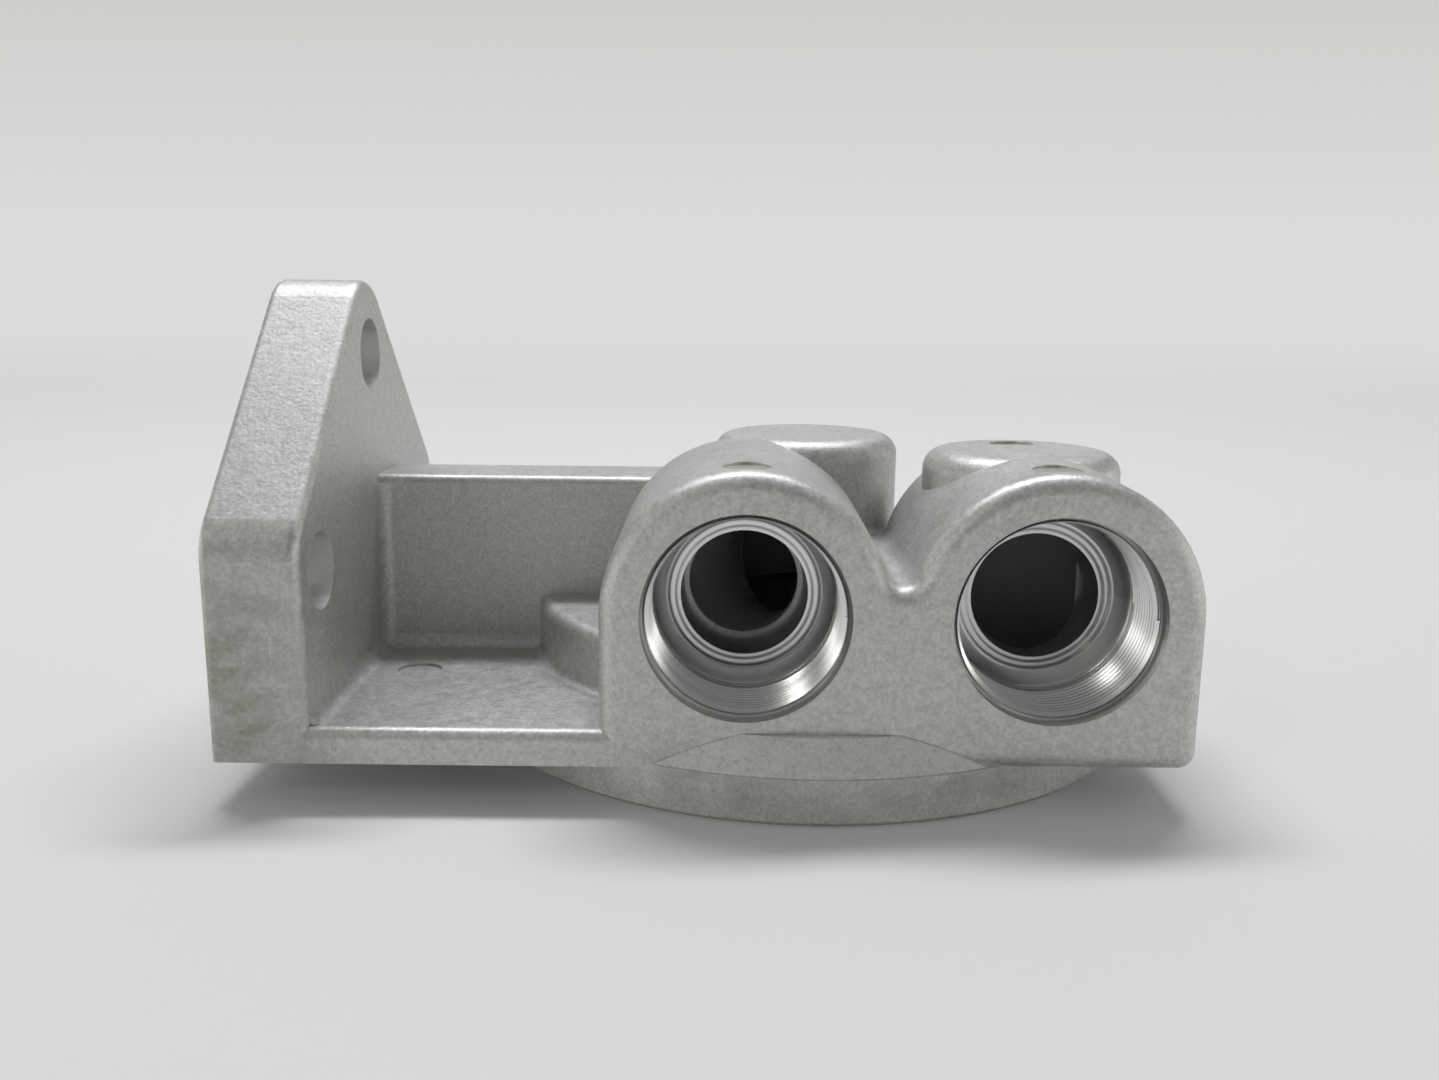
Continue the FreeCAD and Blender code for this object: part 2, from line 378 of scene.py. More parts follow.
@dataclass(frozen=True)
class PaintedLight:
    """Painted shade on the rim, plate and pin marks, and a painted highlight on the shoulder.

    Attributes:
        rim: Painted shade on the flange's rim, below the ports.
        plate: Painted shade on the mounting plate's front edge, darker towards the bottom.
        plate_weight: Strength of the plate's painted shade beside the rim's.
        plate_front: Depth of the plate's painted shade behind its front edge.
        front_edge: Softness of that depth.
        shade_breakup: Noise that breaks the painted shade up.
        shade_breakup_stretch: How the noise is drawn out.
        contrast: Contrast of the broken painted shade.
        cover: Mean cover before the limits are applied.
        strength: Strongest cover.
        pin_shade_cover: Cover of the painted shade in the ejector-pin marks.
        pin_edge: Softness of the ejector-pin marks.
        shoulder_highlight: Painted highlight on the flange's shoulder.
        shoulder_highlight_tone: How far the skin's tone breaks the painted highlight up.
        shoulder_highlight_cover: Least cover of the painted highlight.
    """

    # Painted shade: a darker colour on the flange's rim below the ports.
    rim: Patch = Patch((4 * MM, -46 * MM, 4.5 * MM), (26 * MM, 6 * MM, 4 * MM), 3 * MM)
    # Painted shade on the plate's front edge, strongest low down and fading upwards.
    plate: Patch = Patch((-80 * MM, -45 * MM, 14 * MM), (22 * MM, 20 * MM, 24 * MM), 16 * MM)
    plate_weight: float = 1.4
    plate_front: float = 0.8 * MM
    front_edge: float = 0.4 * MM
    shade_breakup: Grain = Grain(160.0, 5.0, 0.7)
    shade_breakup_stretch: Triple = (1.0, 1.0, 1.6)
    contrast: float = 2.4
    cover: float = 0.65
    strength: float = 0.62
    pin_shade_cover: float = 0.4
    pin_edge: float = 0.3 * MM
    # Painted highlight: a pale strip on the flange's shoulder in front of the ports.
    shoulder_highlight: Patch = Patch((0.0, -48 * MM, 8.5 * MM), (34 * MM, 2.9 * MM, 2.2 * MM), 0.1 * MM)
    shoulder_highlight_tone: float = 0.6
    shoulder_highlight_cover: float = 0.35


@dataclass(frozen=True)
class Scrapes:
    """Scrape marks of handling on the plate's edge, the web and the floor.

    Attributes:
        plate: Area on the plate's front edge.
        web: Area on the web's front.
        floor: Area on the bracket's floor.
        plate_weight: Depth of the plate's marks beside the web's.
        floor_weight: Depth of the floor's marks beside the web's.
        upright: Noise of the upright marks.
        upright_stretch: How the upright marks are drawn out.
        flat: Noise of the marks on the floor.
        flat_stretch: How the floor's marks are drawn out.
        depth: Depth of the web's marks.
    """

    plate: Patch = Patch((-71.5 * MM, -45 * MM, 20.5 * MM), (4.2 * MM, MM, 2.2 * MM), 0.8 * MM)
    web: Patch = Patch((-47 * MM, -6.6 * MM, 30 * MM), (9 * MM, MM, 4 * MM), 3 * MM)
    floor: Patch = Patch((-52.5 * MM, -13.5 * MM, 10.4 * MM), (6.5 * MM, 2.2 * MM, MM),
                         1.5 * MM)
    plate_weight: float = 1.5
    floor_weight: float = 1.6
    upright: Grain = Grain(1.0, 1.0)
    upright_stretch: Triple = (1400.0, 1400.0, 120.0)
    flat: Grain = Grain(1.0, 2.0)
    flat_stretch: Triple = (150.0, 900.0, 900.0)
    depth: float = 0.12 * MM


@dataclass(frozen=True)
class MachinedFace:
    """Bright turned metal with fine feed marks.

    Attributes:
        colour: Brightest metal.
        dull: Dullest metal.
        seat_shade: Painted shade: darker metal round the ports' seats.
        inlet_seat_shade: How far the inlet's seat takes the painted shade.
        roughness: Roughness of turned metal.
        drilled: Roughness of the bolt holes.
        deep: Roughness of the walls behind the port threads.
        deep_edge: Softness of the step to those walls.
        rings: Noise that varies the metal in rings.
        ring_stretch: How the rings are drawn out.
        ring_contrast: Contrast of the rings' colour.
        ring_dull: What is taken off the rings' colour before the limits.
        ring_roughness: How far the rings move the roughness.
        feed: Spacing of the feed marks.
        feed_depth: Depth of the feed marks.
        seat_edge: Softness of the painted shade's outline.
    """

    colour: Colour = (0.86, 0.86, 0.85, 1.0)
    dull: Colour = (0.66, 0.66, 0.65, 1.0)
    # Painted shade on the outer shoulder of the outlet's seat and deep in the inlet.
    seat_shade: Colour = (0.40, 0.395, 0.40, 1.0)
    inlet_seat_shade: float = 0.25
    roughness: float = 0.25
    drilled: float = 0.5
    deep: float = 0.3
    deep_edge: float = 1.0 * MM
    rings: Grain = Grain(1.0, 2.0)
    ring_stretch: Triple = (15.0, 900.0, 15.0)
    ring_contrast: float = 1.4
    ring_dull: float = 0.3
    ring_roughness: float = 0.08
    feed: float = 0.9 * MM
    feed_depth: float = 0.022 * MM
    seat_edge: float = 0.1 * MM


@dataclass(frozen=True)
class PortSizes:
    """Sizes shared by the two hose ports, measured from the axis or the front face.

    Attributes:
        face_y: The block's front face.
        mouth: Radius of the chamfered mouth.
        bore_end: Depth of the machined bore.
        thread_start: Depth where the thread starts.
        thread_end: Depth where the thread ends.
        wall: Radius of the wall under the thread.
        seat_outer: Radius where the seat's duller rim starts.
        seat_depth: Depth of the seat.
        passage: Reach that covers the cast passage.
        passage_end: Depth that covers the cast passage.
        chamber: Reach that covers an upright chamber.
        chamber_y: Centre of the inlet's chamber.
        chamber_top: Level above both chambers.
    """

    face_y: float = -45.0 * MM
    mouth: float = 13.4 * MM
    bore_end: float = 22.7 * MM
    thread_start: float = 1.9 * MM
    thread_end: float = 12.1 * MM
    wall: float = 12.8 * MM
    seat_outer: float = 10.05 * MM
    seat_depth: float = 14.6 * MM
    passage: float = 9.2 * MM
    passage_end: float = 39.0 * MM
    chamber: float = 9.75 * MM
    chamber_y: float = -17.7 * MM
    chamber_top: float = 39.5 * MM


def mount(name: str) -> Dict[str, Any]:
    """Look up a mount in the record.

    Args:
        name: The mount's name.

    Returns:
        The mount's entry.

    Raises:
        KeyError: If the record has no such mount.
    """
    for entry in frame["record"]["mounts"]:
        if entry["name"] == name:
            return entry
    raise KeyError(name)


def mount_place(name: str) -> Vector:
    """Return where the record puts a mount."""
    return Vector(mount(name)["pos_m"])


def joined(masks: Iterable[Value]) -> Value:
    """Return the largest of several masks."""
    return reduce(Value.either, masks)


@dataclass
class Casting:
    """The CAD casting, dressed where it was cast and where it was machined.

    Attributes:
        skin: The cast skin.
        painted_light: Its painted shade and painted highlight.
        scrapes: Its scrape marks.
        bright: The machined faces.
        port: Sizes of the hose ports.
        seat_reach: Reach that covers the gasket face.
        seat_level: Level just above the gasket face.
        hub_reach: Reach that covers the hub's face.
        hub_level: Level just above the hub's chamfer.
        thread_top: Top of the filter thread's bore.
        thread_reach: Reach that covers the filter thread.
        bolt_reach: Reach that covers a bolt hole.
        bolt_depth: Depth that covers a bolt hole.
        plate_face: Depth that covers the plate's milled outer face.
        chamber_floor: Level below the inlet chamber's floor.
        pin_reach: Radius of an ejector-pin mark.
        crown_mark_y: Place of the marks on the crowns.
        cap_mark_y: Place of the mark on the inlet's cap.
        overshoot: How far a mask starts outside the metal.
        face_overshoot: The same before the ports' front face.
    """

    skin: CastSkin = field(default_factory=CastSkin)
    painted_light: PaintedLight = field(default_factory=PaintedLight)
    scrapes: Scrapes = field(default_factory=Scrapes)
    bright: MachinedFace = field(default_factory=MachinedFace)
    port: PortSizes = field(default_factory=PortSizes)
    seat_reach: float = 60.0 * MM
    seat_level: float = 0.15 * MM
    hub_reach: float = 17.6 * MM
    hub_level: float = 2.5 * MM
    thread_top: float = 18.9 * MM
    thread_reach: float = 12.9 * MM
    bolt_reach: float = 5.35 * MM
    bolt_depth: float = 12.7 * MM
    plate_face: float = 0.12 * MM
    chamber_floor: float = 5.8 * MM
    pin_reach: float = 3.2 * MM
    crown_mark_y: float = -38.5 * MM
    cap_mark_y: float = -11.5 * MM
    overshoot: float = 1.0 * MM
    face_overshoot: float = 0.02 * MM

    def ports(self) -> List[Bore]:
        """Describe the machined part of both hose ports.

        Returns:
            The outlet's bore and the inlet's.
        """
        places = [mount_place("outlet_port"), mount_place("inlet_port")]
        start = self.port.face_y - self.face_overshoot
        return [Bore(Axis.Y, (p.x, p.z), self.port.mouth, start,
                     self.port.face_y + self.port.bore_end) for p in places]

    def cored_passages(self) -> List[Bore]:
        """Describe the cast passages behind the machined bores.

        Returns:
            The level passages, the upright chambers and the inlet chamber's floor.
        """
        outlet, inlet = mount_place("outlet_port"), mount_place("inlet_port")
        start = self.port.face_y + self.port.bore_end
        level = [Bore(Axis.Y, (p.x, p.z), self.port.passage, start,
                      self.port.face_y + self.port.passage_end) for p in (outlet, inlet)]
        above_inlet = (inlet.x, self.port.chamber_y)
        upright = [Bore(Axis.Z, middle, self.port.chamber, self.thread_top,
                        self.port.chamber_top) for middle in ((0.0, 0.0), above_inlet)]
        floor = Bore(Axis.Z, above_inlet, self.port.chamber, self.chamber_floor,
                     self.thread_top)
        return level + upright + [floor]

    def bolt_holes(self) -> List[Bore]:
        """Describe the drilled holes of the mounting plate.

        Returns:
            The two lower holes and the upper one.
        """
        middle, upper = mount_place("lower_bolts"), mount_place("upper_bolt")
        half = mount("lower_bolts")["dims"]["spacing_x_mm"] / 2.0 * MM
        places = [(middle.y - half, middle.z), (middle.y + half, middle.z), (upper.y, upper.z)]
        low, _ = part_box(CASTING_NODE)
        return [Bore(Axis.X, place, self.bolt_reach, low.x - self.overshoot,
                     low.x + self.bolt_depth) for place in places]

    def pin_marks(self) -> List[Bore]:
        """Describe the ejector-pin marks that face up.

        Returns:
            The mark on each crown and the one on the inlet's cap.
        """
        outlet, inlet = mount_place("outlet_port"), mount_place("inlet_port")
        places = [(outlet.x, self.crown_mark_y), (inlet.x, self.crown_mark_y),
                  (inlet.x, self.cap_mark_y)]
        _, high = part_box(CASTING_NODE)
        return [Bore(Axis.Z, place, self.pin_reach, self.port.chamber_top, high.z)
                for place in places]

    def filter_side(self) -> List[Bore]:
        """Describe the machined faces of the underside.

        Returns:
            The gasket face, the hub's face and the filter thread.
        """
        middle, start = (0.0, 0.0), -self.overshoot
        return [Bore(Axis.Z, middle, self.seat_reach, start, self.seat_level),
                Bore(Axis.Z, middle, self.hub_reach, start, self.hub_level),
                Bore(Axis.Z, middle, self.thread_reach, start, self.thread_top)]

    def dress(self) -> bpy.types.Material:
        """Give the casting its material.

        Returns:
            The material, for the thread pieces to share.
        """
        material = bpy.data.materials.new("cast_and_machined_aluminium")
        material.use_nodes = True
        wiring = Wiring(material.node_tree)
        place = wiring.node("ShaderNodeTexCoord").outputs["Object"]
        at = wiring.split(place)
        machined = self._machined(at)
        cored = joined(bore.mask(at) for bore in self.cored_passages())
        cast_colour, cast_rough, cast_height = self._cast(wiring, place, at, cored)
        turned_colour, turned_rough, turned_height = self._turned(wiring, place, at)
        colour = wiring.mix(machined, cast_colour, turned_colour)
        rough = cast_rough + (turned_rough - cast_rough) * machined
        height = cast_height + (turned_height - cast_height) * machined
        bare = (1.0 - cored) * self.skin.metallic
        metallic = machined * (1.0 - bare) + bare
        bump = wiring.node("ShaderNodeBump", None, {
            "Strength": 1.0, "Distance": 1.0, "Height": height})
        shader = wiring.node("ShaderNodeBsdfPrincipled", None, {
            "Base Color": colour, "Roughness": rough, "Metallic": metallic,
            "Normal": bump.outputs[0]})
        wiring.node("ShaderNodeOutputMaterial", None, {0: shader.outputs[0]})
        for slot in frame["nodes"][CASTING_NODE].material_slots:
            slot.material = material
        return material

    def _machined(self, at: List[Value]) -> Value:
        """Find the machined faces.

        Args:
            at: The shading point's three coordinates.

        Returns:
            1 on machined faces and 0 on cast ones.
        """
        low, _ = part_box(CASTING_NODE)
        milled = at[Axis.X.value].below(low.x + self.plate_face, MASK_EDGE)
        bores = self.ports() + self.bolt_holes() + self.filter_side()
        return joined([milled] + [bore.mask(at) for bore in bores])

    def _cast(self, wiring: Wiring, place: bpy.types.NodeSocket, at: List[Value],
              cored: Value) -> Tuple[bpy.types.NodeSocket, Value, Value]:
        """Wire the cast skin.

        Args:
            wiring: The material's node tree.
            place: Object coordinates.
            at: The same, split into numbers.
            cored: The mask of the cast passages.

        Returns:
            Its colour, roughness and height.
        """
        skin, painted_light = self.skin, self.painted_light
        grain = wiring.noise(place, skin.grain)
        cloud = wiring.noise(place, skin.cloud)
        speck = wiring.noise(place, skin.speck)
        tone = ((cloud - 0.5) * skin.cloud_tone + (grain - 0.5) * skin.grain_tone
                + (speck - 0.5) * skin.speck_tone + skin.tone).clamped()
        colour = wiring.mix(tone, skin.dark, skin.light)
        # Painted shade on the flange's rim, the plate's front edge and in the ejector-pin
        # marks.
        colour = wiring.mix(self._painted_shade_mask(wiring, place, at), colour, skin.painted_shade)
        # Painted highlight on the flange's shoulder.
        shoulder_highlight = painted_light.shoulder_highlight.mask(at) * (tone * painted_light.shoulder_highlight_tone + painted_light.shoulder_highlight_cover)
        colour = wiring.mix(shoulder_highlight, colour, skin.painted_highlight)
        # Darker colour in the cast passages: partly their dull as-cast surface, partly painted
        # shade.
        colour = wiring.mix(cored, colour, skin.cored)
        rough = ((cloud - 0.5) * skin.cloud_roughness + (speck - 0.5) * skin.speck_roughness
                 + skin.roughness + cored * skin.cored_roughness)
        height = (grain * skin.grain_height + speck * skin.speck_height
                  + self._scraped(wiring, place, at))
        return colour, rough, height

    def _painted_shade_mask(self, wiring: Wiring, place: bpy.types.NodeSocket, at: List[Value]) -> Value:
        """Find the painted shade on the rim and the plate, and in the ejector-pin marks.

        Args:
            wiring: The material's node tree.
            place: Object coordinates.
            at: The same, split into numbers.

        Returns:
            Cover of the painted shade.
        """
        painted_light = self.painted_light
        shade_breakup = wiring.noise(wiring.stretched(place, painted_light.shade_breakup_stretch), painted_light.shade_breakup)
        front = at[Axis.Y.value].below(self.port.face_y + painted_light.plate_front,
                                       painted_light.front_edge)
        # Painted shade on the plate's front edge, darker towards the bottom.
        plate = painted_light.plate.mask(at) * front * painted_light.plate_weight
        broken = ((shade_breakup - 0.5) * painted_light.contrast + painted_light.cover).clamped() * painted_light.strength
        # Painted shade in the recessed ejector-pin marks.
        pins = joined(mark.mask(at, painted_light.pin_edge) for mark in self.pin_marks())
        return (painted_light.rim.mask(at).either(plate) * broken).either(pins * painted_light.pin_shade_cover)

    def _scraped(self, wiring: Wiring, place: bpy.types.NodeSocket, at: List[Value]) -> Value:
        """Raise scrape marks on the plate's edge, the web and the floor.

        Args:
            wiring: The material's node tree.
            place: Object coordinates.
            at: The same, split into numbers.

        Returns:
            Their height.
        """
        scrapes = self.scrapes
        upright = wiring.noise(wiring.stretched(place, scrapes.upright_stretch),
                               scrapes.upright)
        flat = wiring.noise(wiring.stretched(place, scrapes.flat_stretch), scrapes.flat)
        walls = scrapes.plate.mask(at) * scrapes.plate_weight + scrapes.web.mask(at)
        marks = upright * walls + flat * scrapes.floor.mask(at) * scrapes.floor_weight
        return marks * scrapes.depth

    def _turned(self, wiring: Wiring, place: bpy.types.NodeSocket,
                at: List[Value]) -> Tuple[bpy.types.NodeSocket, Value, Value]:
        """Wire the machined faces, with feed marks that follow each cutter's path.

        Args:
            wiring: The material's node tree.
            place: Object coordinates.
            at: The same, split into numbers.

        Returns:
            Their colour, roughness and height.
        """
        face = self.bright
        gasket_face = self.filter_side()[0]
        marks = reduce(Value.__add__, [self._feed(at, bore)
                                       for bore in self.ports() + [gasket_face]])
        ring = wiring.noise(wiring.stretched(place, face.ring_stretch), face.rings)
        shine = (ring * face.ring_contrast - face.ring_dull).clamped()
        colour = wiring.mix(shine, face.dull, face.colour)
        # Painted shade round the ports' seats.
        colour = wiring.mix(self._painted_seat_shade(at), colour, face.seat_shade)
        holes = joined(bore.mask(at) for bore in self.bolt_holes())
        behind = at[Axis.Y.value].above(self.port.face_y + self.port.thread_end,
                                        face.deep_edge)
        rough = ((ring - 0.5) * face.ring_roughness + face.roughness
                 + holes * (face.drilled - face.roughness)
                 + behind * (1.0 - holes) * (face.deep - face.roughness))
        return colour, rough, marks * face.feed_depth

    def _feed(self, at: List[Value], bore: Bore) -> Value:
        """Wave along the path of the tool that cut one bore or face.

        Args:
            at: The shading point's three coordinates.
            bore: What was cut.

        Returns:
            The wave inside the bore, and 0 outside.
        """
        path = bore.distance(at) + at[bore.axis.value]
        return (path * (2.0 * math.pi / self.bright.feed)).math("SINE") * bore.mask(at)

    def _painted_seat_shade(self, at: List[Value]) -> Value:
        """Find the painted shade round each port's seat.

        Args:
            at: The shading point's three coordinates.

        Returns:
            Cover of the painted shade.
        """
        face = self.bright
        outlet, inlet = self.ports()
        edge = self.port.face_y + self.port.seat_depth - face.seat_edge
        deep = at[Axis.Y.value].above(edge, face.seat_edge / 2.0)
        rim = outlet.distance(at).above(self.port.seat_outer, face.seat_edge)
        return deep * (rim * outlet.mask(at)).either(inlet.mask(at) * face.inlet_seat_shade)


@dataclass
class ThreadRidge:
    """A helical ridge that stands on the wall of a threaded hole.

    Attributes:
        name: The piece's name.
        foot: Where the helix starts, on the hole's axis.
        towards: Unit vector along the axis.
        wall: Radius of the wall that the ridge stands on.
        length: Length of the thread along the axis.
        pitch: Advance in one turn.
        height: Ridge's height over the wall.
        crest: Half the crest's width, as a share of the pitch.
        root: Half the foot's width, as a share of the pitch.
        steps: Faces in one turn.
        sunk: How far the foot goes into the wall.
        merge: Distance under which its points are one.
        smooth: Angle in degrees under which its faces shade as one.
    """

    name: str
    foot: Vector
    towards: Vector
    wall: float
    length: float
    pitch: float
    height: float
    crest: float
    root: float = 0.47
    steps: int = 96
    sunk: float = 0.06 * MM
    merge: float = 1e-7
    smooth: float = 25.0

    def build(self, material: bpy.types.Material) -> bpy.types.Object:
        """Model the ridge and fit it to the casting.

        Args:
            material: The casting's material.

        Returns:
            The finished piece.
        """
        bpy.ops.object.select_all(action="DESELECT")
        bpy.ops.mesh.primitive_plane_add(size=1.0)
        piece = bpy.context.active_object
        piece.name = self.name
        self._shape_section(piece)
        turns = int((self.length - self.pitch) / self.pitch)
        screw = piece.modifiers.new("helix", "SCREW")
        screw.axis = "Z"
        screw.angle = 2.0 * math.pi
        screw.screw_offset = self.pitch
        screw.iterations = turns
        screw.steps = self.steps
        screw.render_steps = self.steps
        screw.use_merge_vertices = False
        bpy.ops.object.modifier_apply(modifier=screw.name)
        self._close_ends()
        turn = Vector((0.0, 0.0, 1.0)).rotation_difference(self.towards).to_matrix().to_4x4()
        piece.data.transform(Matrix.Translation(self.foot) @ turn)
        bpy.ops.object.shade_smooth_by_angle(angle=math.radians(self.smooth))
        piece.data.materials.clear()
        piece.data.materials.append(material)
        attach(piece, BODY)
        return piece

    def _shape_section(self, piece: bpy.types.Object) -> None:
        """Turn a unit square into the outline of the ridge's section, beside the axis.

        Args:
            piece: The square, which is the active object.
        """
        half_foot = self.root * self.pitch
        half_crest = self.crest * self.pitch
        outer = self.wall + self.sunk
        inner = self.wall - self.height
        for vertex in piece.data.vertices:
            crest = vertex.co.x < 0.0
            half = half_crest if crest else half_foot
            side = 1.0 if vertex.co.y > 0.0 else -1.0
            vertex.co = Vector((inner if crest else outer, 0.0, half_foot + side * half))
        bpy.ops.object.mode_set(mode="EDIT")
        bpy.ops.mesh.select_all(action="SELECT")
        bpy.ops.mesh.delete(type="ONLY_FACE")
        bpy.ops.object.mode_set(mode="OBJECT")

    def _close_ends(self) -> None:
        """Cap both ends of the swept ridge and turn its faces outwards."""
        bpy.ops.object.mode_set(mode="EDIT")
        bpy.ops.mesh.select_all(action="SELECT")
        bpy.ops.mesh.remove_doubles(threshold=self.merge)
        bpy.ops.mesh.fill_holes(sides=4)
        bpy.ops.mesh.select_all(action="SELECT")
        bpy.ops.mesh.normals_make_consistent(inside=False)
        bpy.ops.object.mode_set(mode="OBJECT")


@dataclass
class Threads:
    """The threads of both ports and of the filter's stud.

    Attributes:
        port: Sizes of the hose ports.
        port_pitch: Pitch of the port threads.
        port_height: Height of their ridges.
        port_crest: Half their crest, as a share of the pitch.
        filter_wall: Radius of the filter thread's wall.
        filter_pitch: Pitch of the filter thread.
        filter_height: Height of its ridge.
        filter_crest: Half its crest, as a share of the pitch.
        filter_start: Level where it starts.
        filter_length: Its length.
    """

    port: PortSizes = field(default_factory=PortSizes)
    port_pitch: float = 1.0 * MM
    port_height: float = 0.5 * MM
    port_crest: float = 0.08
    filter_wall: float = 11.55 * MM
    filter_pitch: float = 2.117 * MM
    filter_height: float = 0.45 * MM
    filter_crest: float = 0.12
    filter_start: float = 2.6 * MM
    filter_length: float = 14.2 * MM

    def build(self, material: bpy.types.Material) -> List[bpy.types.Object]:
        """Model every thread.

        Args:
            material: The casting's material.

        Returns:
            The thread pieces.
        """
        inward = Vector((0.0, 1.0, 0.0))
        pieces = []
        for name in ("outlet_port", "inlet_port"):
            axis = mount_place(name)
            foot = Vector((axis.x, self.port.face_y + self.port.thread_start, axis.z))
            length = self.port.thread_end - self.port.thread_start
            ridge = ThreadRidge(f"{name}_thread", foot, inward, self.port.wall, length,
                                self.port_pitch, self.port_height, self.port_crest)
            pieces.append(ridge.build(material))
        stud = ThreadRidge("filter_thread", Vector((0.0, 0.0, self.filter_start)),
                           Vector((0.0, 0.0, 1.0)), self.filter_wall, self.filter_length,
                           self.filter_pitch, self.filter_height, self.filter_crest)
        pieces.append(stud.build(material))
        return pieces


@dataclass(frozen=True)
class Panel:
    """A rectangular lamp that faces the head.

    Attributes:
        name: The lamp's name.
        place: Its centre.
        size: Its width and height.
        watts: Its power.
        tint: Its colour.
        aim: Level on the filter's axis that it points at.
    """

    name: str
    place: Triple
    size: Tuple[float, float]
    watts: float
    tint: Triple
    aim: float = 30.0 * MM

    def hang(self) -> None:
        """Make the lamp."""
        bpy.ops.object.light_add(type="AREA", location=self.place)
        lamp = bpy.context.active_object
        lamp.name = self.name
        lamp.data.shape = "RECTANGLE"
        lamp.data.size, lamp.data.size_y = self.size
        lamp.data.energy = self.watts
        lamp.data.color = self.tint
        away = Vector(self.place) - Vector((0.0, 0.0, self.aim))
        lamp.rotation_euler = away.to_track_quat("Z", "Y").to_euler()


@dataclass(frozen=True)
class Room:
    """Soft light of the room, by direction.

    Attributes:
        tint: Its colour.
        front: Its strength from the front.
        back: What it gains from behind the head.
        back_power: How fast it gains towards the back.
        side: What it gains from low on both sides.
        side_start: Sideways reach of a direction where the sides begin.
        side_fade: Width of that step.
        side_top: Upward reach of a direction where the sides end.
        side_top_fade: Width of that step.
        seen: Strength where the camera sees the room itself.
    """

    tint: Colour = (0.98, 1.0, 0.97, 1.0)
    front: float = 0.19
    back: float = 0.52
    back_power: float = 2.0
    side: float = 1.9
    side_start: float = 0.45
    side_fade: float = 0.3
    side_top: float = 0.3
    side_top_fade: float = 0.2
    seen: float = 0.8

    def light(self) -> None:
        """Make the world, with a pale surround where the camera sees it."""
        world = bpy.data.worlds.new("studio")
        bpy.context.scene.world = world
        world.use_nodes = True
        wiring = Wiring(world.node_tree)
        towards = wiring.split(wiring.node("ShaderNodeTexCoord").outputs["Generated"])
        back = (towards[Axis.Y.value] * 0.5 + 0.5).clamped()
        sides = abs(towards[Axis.X.value]).above(self.side_start, self.side_fade)
        low = abs(towards[Axis.Z.value]).below(self.side_top, self.side_top_fade)
        strength = self.front + back ** self.back_power * self.back + sides * low * self.side
        seen = Value(wiring, wiring.node("ShaderNodeLightPath").outputs["Is Camera Ray"])
        strength = strength + (self.seen - strength) * seen
        light = wiring.node("ShaderNodeBackground", None, {
            "Color": self.tint, "Strength": strength})
        wiring.node("ShaderNodeOutputWorld", None, {0: light.outputs[0]})


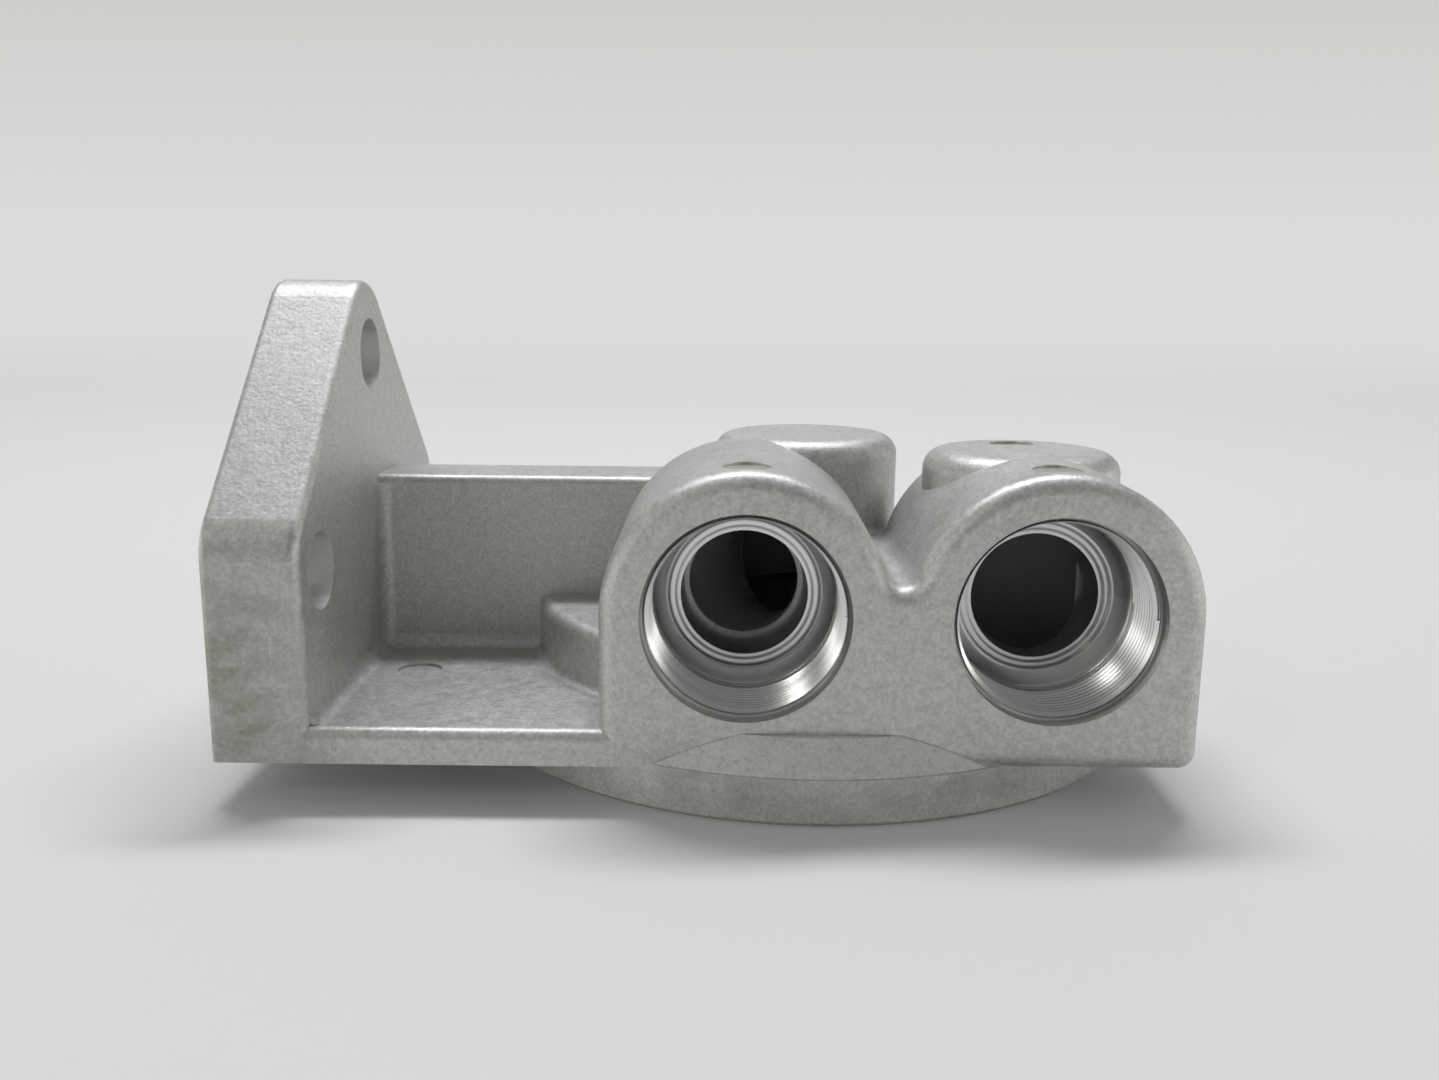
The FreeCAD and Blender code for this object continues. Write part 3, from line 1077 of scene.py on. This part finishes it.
@dataclass
class Stage:
    """Pale sweep that the head stands on, with its lamps, room light and camera.

    Attributes:
        overhead_strip: Long lamp overhead, a little behind the head.
        window: Weak lamp high at the front left.
        room: The room's soft light.
        floor_half: Half the sheet's width.
        floor_front: Front edge of the sheet.
        floor_back: Where the sheet turns up.
        wall_height: How far it goes up.
        bend: Radius of the turn.
        bend_steps: Faces in the turn.
        paper: The sheet's colour.
        paper_roughness: Its roughness.
        wall_low: Colour that the camera sees low on the backdrop.
        wall_high: Colour that the camera sees high on the backdrop, darker there as painted
            fall-off of the light.
        wall_start: Level where the second colour begins.
        wall_fade: Height of that change.
        glow_start: Distance behind the head where the backdrop's own colour begins.
        glow_fade: Depth of that change.
        lens: The camera's focal length in millimetres.
        sensor: Its sensor's width in millimetres.
        near: Nearest distance that it sees.
        far: Farthest distance that it sees.
        eye: Its place.
        pitch: How far it looks down, in degrees.
        roll: How far it leans, in degrees.
        yaw: How far it looks to the right, in degrees.
    """

    overhead_strip: Panel = Panel("overhead_strip", (-0.05, 0.34, 1.05), (0.9, 0.16), 7.7,
                                  (1.0, 0.965, 1.0))
    window: Panel = Panel("window", (-0.8, -0.95, 0.86), (0.2, 0.3), 1.0, (0.97, 1.0, 0.95))
    room: Room = field(default_factory=Room)
    floor_half: float = 2.2
    floor_front: float = -1.6
    floor_back: float = 1.5
    wall_height: float = 2.2
    bend: float = 0.9
    bend_steps: int = 24
    paper: Colour = (0.80, 0.80, 0.795, 1.0)
    paper_roughness: float = 0.75
    wall_low: Colour = (0.71, 0.715, 0.705, 1.0)
    wall_high: Colour = (0.60, 0.595, 0.58, 1.0)
    wall_start: float = 0.12
    wall_fade: float = 0.3
    glow_start: float = 0.1
    glow_fade: float = 0.7
    lens: float = 32.18
    sensor: float = 36.0
    near: float = 0.01
    far: float = 20.0
    eye: Triple = (-12.6 * MM, -200.1 * MM, 67.1 * MM)
    pitch: float = 11.51
    roll: float = 0.561
    yaw: float = -0.198

    def build(self) -> None:
        """Make the floor, the lights and the camera."""
        floor = self._floor()
        floor.data.materials.append(self._paper())
        self.overhead_strip.hang()
        self.window.hang()
        self.room.light()
        self._camera()

    def _floor(self) -> bpy.types.Object:
        """Lay a sheet that curves up behind the head.

        Returns:
            The sheet.
        """
        bpy.ops.object.select_all(action="DESELECT")
        bpy.ops.mesh.primitive_plane_add(size=1.0)
        floor = bpy.context.active_object
        floor.name = "studio_sweep"
        for vertex in floor.data.vertices:
            vertex.co.x *= 2.0 * self.floor_half
            vertex.co.y = self.floor_back if vertex.co.y > 0.0 else self.floor_front
        bpy.ops.object.mode_set(mode="EDIT")
        bpy.ops.mesh.select_all(action="DESELECT")
        bpy.ops.object.mode_set(mode="OBJECT")
        for edge in floor.data.edges:
            ends = [floor.data.vertices[i] for i in edge.vertices]
            edge.select = all(v.co.y == self.floor_back for v in ends)
            for vertex in ends:
                vertex.select = vertex.select or edge.select
        bpy.ops.object.mode_set(mode="EDIT")
        bpy.ops.mesh.select_mode(type="EDGE")
        bpy.ops.mesh.extrude_region_move(
            TRANSFORM_OT_translate={"value": (0.0, 0.0, self.wall_height)})
        bpy.ops.object.mode_set(mode="OBJECT")
        bend = floor.modifiers.new("bend", "BEVEL")
        bend.width = self.bend
        bend.segments = self.bend_steps
        bend.limit_method = "ANGLE"
        bpy.ops.object.modifier_apply(modifier=bend.name)
        bpy.ops.object.shade_smooth()
        return floor

    def _paper(self) -> bpy.types.Material:
        """Wire the sheet's material, which glows where it is the backdrop, with painted shade
        that darkens it higher up.

        Returns:
            The material.
        """
        material = bpy.data.materials.new("pale_paper")
        material.use_nodes = True
        wiring = Wiring(material.node_tree)
        at = wiring.split(wiring.node("ShaderNodeTexCoord").outputs["Object"])
        seen = Value(wiring, wiring.node("ShaderNodeLightPath").outputs["Is Camera Ray"])
        shader = wiring.node("ShaderNodeBsdfPrincipled", None, {
            "Base Color": self.paper, "Roughness": self.paper_roughness})
        # Painted shade: the backdrop's glow darkens higher up.
        high = at[Axis.Z.value].above(self.wall_start, self.wall_fade)
        glow = wiring.node("ShaderNodeEmission", None, {
            "Color": wiring.mix(high, self.wall_low, self.wall_high)})
        behind = at[Axis.Y.value].above(self.glow_start, self.glow_fade)
        shown = wiring.node("ShaderNodeMixShader", None, {
            0: seen * behind, 1: shader.outputs[0], 2: glow.outputs[0]})
        wiring.node("ShaderNodeOutputMaterial", None, {0: shown.outputs[0]})
        return material

    def _camera(self) -> None:
        """Set the camera low in front of the ports."""
        data = bpy.data.cameras.new("camera")
        data.sensor_fit = "HORIZONTAL"
        data.sensor_width = self.sensor
        data.lens = self.lens
        data.clip_start = self.near
        data.clip_end = self.far
        camera = bpy.data.objects.new("camera", data)
        bpy.context.scene.collection.objects.link(camera)
        aim = Euler((math.radians(90.0 - self.pitch), 0.0, math.radians(-self.yaw)))
        twist = Matrix.Rotation(math.radians(self.roll), 4, "Z")
        camera.matrix_world = Matrix.Translation(self.eye) @ aim.to_matrix().to_4x4() @ twist
        bpy.context.scene.camera = camera


def main() -> None:
    """Dress the casting, add its threads and set the stage."""
    logging.basicConfig(level=logging.INFO)
    bpy.context.scene.view_settings.view_transform = "Standard"
    Stage().build()
    material = Casting().dress()
    LOG.info("dressed %s", CASTING_NODE)
    for piece in Threads().build(material):
        LOG.info("built %s: %d faces", piece.name, len(piece.data.polygons))


if __name__ == "__main__":
    main()
